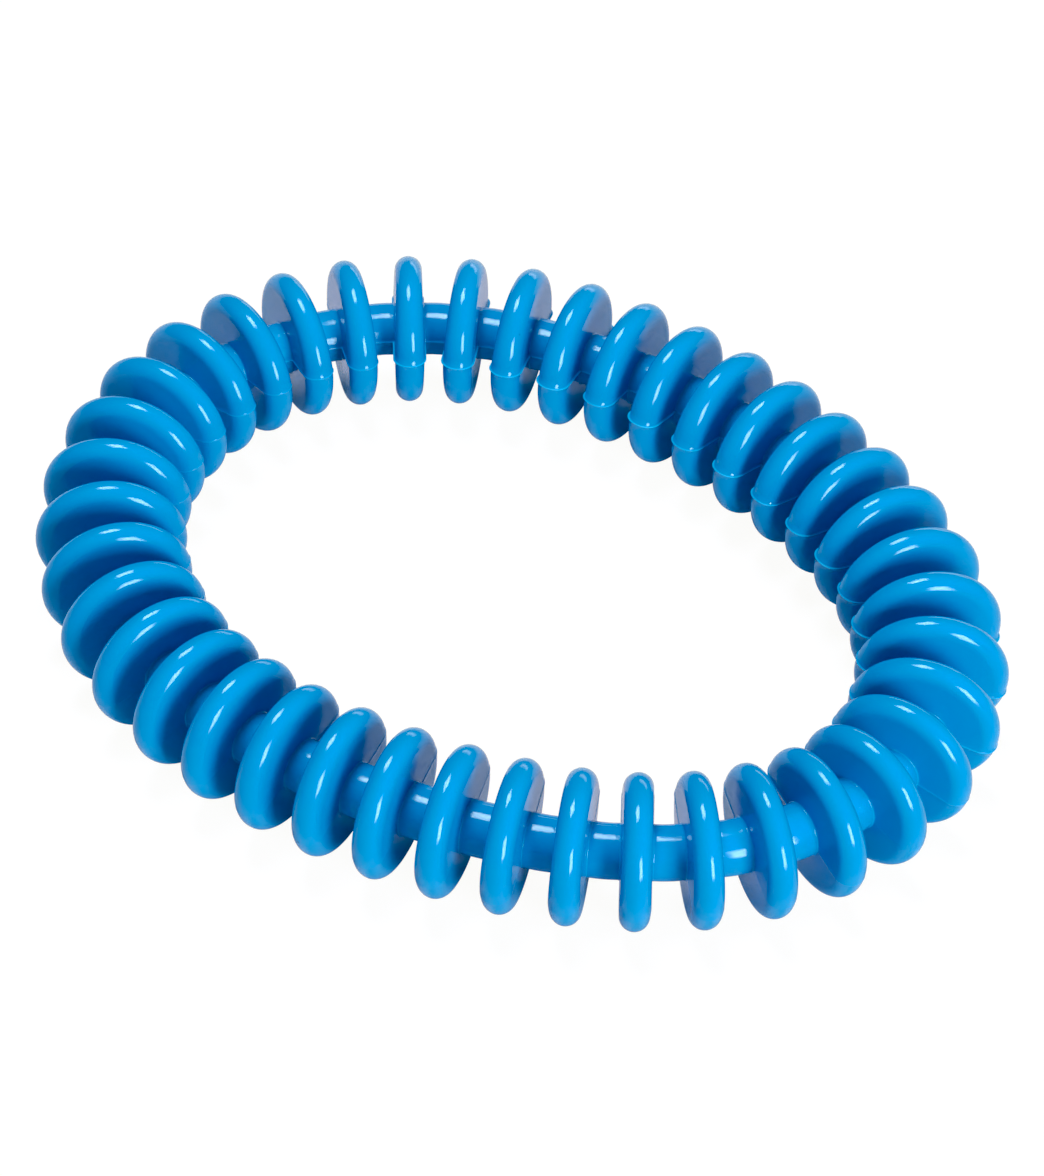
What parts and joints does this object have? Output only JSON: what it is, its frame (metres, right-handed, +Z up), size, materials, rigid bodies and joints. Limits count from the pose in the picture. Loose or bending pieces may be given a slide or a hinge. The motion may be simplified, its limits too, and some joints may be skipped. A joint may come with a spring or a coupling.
{
  "type": "flexible throwing ring",
  "caption": "Soft glossy rubber ring for throwing, catching and squeezing: a round core with round-edged discs all the way round it.",
  "frame": {"origin": "middle of the outline seen from above, at the level that the rims rest on", "axes": "+X along the long axis of the oval, towards its sharper end; +Y along the short axis; +Z up, across the flat of the ring"},
  "size_m": [0.1874, 0.1452, 0.028],
  "materials": {
    "blue_rubber": "gloss"
  },
  "bodies": {
    "section_14": {"disc_27": "blue_rubber", "disc_28": "blue_rubber", "core_14": "blue_rubber"},
    "section_01": {"disc_01": "blue_rubber", "disc_02": "blue_rubber", "core_01": "blue_rubber"},
    "section_02": {"disc_03": "blue_rubber", "disc_04": "blue_rubber", "core_02": "blue_rubber"},
    "section_03": {"disc_05": "blue_rubber", "disc_06": "blue_rubber", "core_03": "blue_rubber"},
    "section_04": {"disc_07": "blue_rubber", "disc_08": "blue_rubber", "core_04": "blue_rubber"},
    "section_05": {"disc_09": "blue_rubber", "disc_10": "blue_rubber", "core_05": "blue_rubber"},
    "section_06": {"disc_11": "blue_rubber", "disc_12": "blue_rubber", "core_06": "blue_rubber"},
    "section_07": {"disc_13": "blue_rubber", "disc_14": "blue_rubber", "core_07": "blue_rubber"},
    "section_08": {"disc_15": "blue_rubber", "disc_16": "blue_rubber", "core_08": "blue_rubber"},
    "section_09": {"disc_17": "blue_rubber", "disc_18": "blue_rubber", "core_09": "blue_rubber"},
    "section_10": {"disc_19": "blue_rubber", "disc_20": "blue_rubber", "core_10": "blue_rubber"},
    "section_11": {"disc_21": "blue_rubber", "disc_22": "blue_rubber", "core_11": "blue_rubber"},
    "section_12": {"disc_23": "blue_rubber", "disc_24": "blue_rubber", "core_12": "blue_rubber"},
    "section_13": {"disc_25": "blue_rubber", "disc_26": "blue_rubber", "core_13": "blue_rubber"},
    "section_15": {"disc_29": "blue_rubber", "disc_30": "blue_rubber", "core_15": "blue_rubber"},
    "section_16": {"disc_31": "blue_rubber", "disc_32": "blue_rubber", "core_16": "blue_rubber"},
    "section_17": {"disc_33": "blue_rubber", "disc_34": "blue_rubber", "core_17": "blue_rubber"},
    "section_18": {"disc_35": "blue_rubber", "disc_36": "blue_rubber", "core_18": "blue_rubber"},
    "section_19": {"disc_37": "blue_rubber", "disc_38": "blue_rubber", "core_19": "blue_rubber"},
    "section_20": {"disc_39": "blue_rubber", "disc_40": "blue_rubber", "core_20": "blue_rubber"}
  },
  "joints": [
    {"name": "bend_14_15", "type": "hinge", "parent": "section_14", "child": "section_15", "pos_m": [-0.02883, -0.05678, 0.014], "axis": [0, 0, 1], "range_deg": [-6.11, 6.11], "stiffness_Nm_per_rad": 0.17},
    {"name": "bend_15_16", "type": "hinge", "parent": "section_15", "child": "section_16", "pos_m": [-0.00693, -0.0588, 0.014], "axis": [0, 0, 1], "range_deg": [-8.95, 8.95], "stiffness_Nm_per_rad": 0.17},
    {"name": "bend_16_17", "type": "hinge", "parent": "section_16", "child": "section_17", "pos_m": [0.01497, -0.05672, 0.014], "axis": [0, 0, 1], "range_deg": [-8.34, 8.34], "stiffness_Nm_per_rad": 0.17},
    {"name": "bend_17_18", "type": "hinge", "parent": "section_17", "child": "section_18", "pos_m": [0.03625, -0.05116, 0.014], "axis": [0, 0, 1], "range_deg": [-4.5, 4.5], "stiffness_Nm_per_rad": 0.17},
    {"name": "bend_18_19", "type": "hinge", "parent": "section_18", "child": "section_19", "pos_m": [0.05594, -0.04136, 0.014], "axis": [0, 0, 1], "range_deg": [-1.15, 1.15], "stiffness_Nm_per_rad": 0.17},
    {"name": "bend_19_20", "type": "hinge", "parent": "section_19", "child": "section_20", "pos_m": [0.07165, -0.02601, 0.014], "axis": [0, 0, 1], "range_deg": [-6.35, 6.35], "stiffness_Nm_per_rad": 0.17},
    {"name": "squeeze", "type": "hinge", "parent": "section_20", "child": "section_01", "pos_m": [0.07956, -0.00553, 0.014], "axis": [0, 0, 1], "range_deg": [-9, 9], "stiffness_Nm_per_rad": 0.17},
    {"name": "bend_01_02", "type": "hinge", "parent": "section_01", "child": "section_02", "pos_m": [0.07683, 0.01624, 0.014], "axis": [0, 0, 1], "range_deg": [-7.96, 7.96], "stiffness_Nm_per_rad": 0.17},
    {"name": "bend_02_03", "type": "hinge", "parent": "section_02", "child": "section_03", "pos_m": [0.06451, 0.03443, 0.014], "axis": [0, 0, 1], "range_deg": [-3.7, 3.7], "stiffness_Nm_per_rad": 0.17},
    {"name": "bend_13_14", "type": "hinge", "parent": "section_14", "child": "section_13", "pos_m": [-0.04949, -0.04929, 0.014], "axis": [0, 0, -1], "range_deg": [-0.99, 0.99], "stiffness_Nm_per_rad": 0.17},
    {"name": "bend_12_13", "type": "hinge", "parent": "section_13", "child": "section_12", "pos_m": [-0.0666, -0.0355, 0.014], "axis": [0, 0, -1], "range_deg": [-4.41, 4.41], "stiffness_Nm_per_rad": 0.17},
    {"name": "bend_11_12", "type": "hinge", "parent": "section_12", "child": "section_11", "pos_m": [-0.07732, -0.01633, 0.014], "axis": [0, 0, -1], "range_deg": [-8.08, 8.08], "stiffness_Nm_per_rad": 0.17},
    {"name": "bend_10_11", "type": "hinge", "parent": "section_11", "child": "section_10", "pos_m": [-0.07958, 0.00552, 0.014], "axis": [0, 0, -1], "range_deg": [-8.8, 8.8], "stiffness_Nm_per_rad": 0.17},
    {"name": "bend_09_10", "type": "hinge", "parent": "section_10", "child": "section_09", "pos_m": [-0.07292, 0.02645, 0.014], "axis": [0, 0, -1], "range_deg": [-6.34, 6.34], "stiffness_Nm_per_rad": 0.17},
    {"name": "bend_08_09", "type": "hinge", "parent": "section_09", "child": "section_08", "pos_m": [-0.05867, 0.04317, 0.014], "axis": [0, 0, -1], "range_deg": [-1.52, 1.52], "stiffness_Nm_per_rad": 0.17},
    {"name": "bend_07_08", "type": "hinge", "parent": "section_08", "child": "section_07", "pos_m": [-0.03943, 0.0538, 0.014], "axis": [0, 0, -1], "range_deg": [-4, 4], "stiffness_Nm_per_rad": 0.17},
    {"name": "bend_06_07", "type": "hinge", "parent": "section_07", "child": "section_06", "pos_m": [-0.01793, 0.05838, 0.014], "axis": [0, 0, -1], "range_deg": [-8.15, 8.15], "stiffness_Nm_per_rad": 0.17},
    {"name": "bend_05_06", "type": "hinge", "parent": "section_06", "child": "section_05", "pos_m": [0.00406, 0.0582, 0.014], "axis": [0, 0, -1], "range_deg": [-9.3, 9.3], "stiffness_Nm_per_rad": 0.17},
    {"name": "bend_04_05", "type": "hinge", "parent": "section_05", "child": "section_04", "pos_m": [0.02573, 0.05439, 0.014], "axis": [0, 0, -1], "range_deg": [-6.98, 6.98], "stiffness_Nm_per_rad": 0.17}
  ],
  "couplings": [
    {"joint": "bend_14_15", "follows": "squeeze", "ratio": -0.6775},
    {"joint": "bend_15_16", "follows": "squeeze", "ratio": -0.993},
    {"joint": "bend_16_17", "follows": "squeeze", "ratio": -0.926},
    {"joint": "bend_17_18", "follows": "squeeze", "ratio": -0.4984},
    {"joint": "bend_18_19", "follows": "squeeze", "ratio": 0.1263},
    {"joint": "bend_19_20", "follows": "squeeze", "ratio": 0.7049},
    {"joint": "bend_01_02", "follows": "squeeze", "ratio": 0.8836},
    {"joint": "bend_02_03", "follows": "squeeze", "ratio": 0.4097},
    {"joint": "bend_13_14", "follows": "squeeze", "ratio": -0.1092},
    {"joint": "bend_12_13", "follows": "squeeze", "ratio": 0.4888},
    {"joint": "bend_11_12", "follows": "squeeze", "ratio": 0.8969},
    {"joint": "bend_10_11", "follows": "squeeze", "ratio": 0.9767},
    {"joint": "bend_09_10", "follows": "squeeze", "ratio": 0.7036},
    {"joint": "bend_08_09", "follows": "squeeze", "ratio": 0.1683},
    {"joint": "bend_07_08", "follows": "squeeze", "ratio": -0.4433},
    {"joint": "bend_06_07", "follows": "squeeze", "ratio": -0.9039},
    {"joint": "bend_05_06", "follows": "squeeze", "ratio": -1.0324},
    {"joint": "bend_04_05", "follows": "squeeze", "ratio": -0.7741}
  ]
}
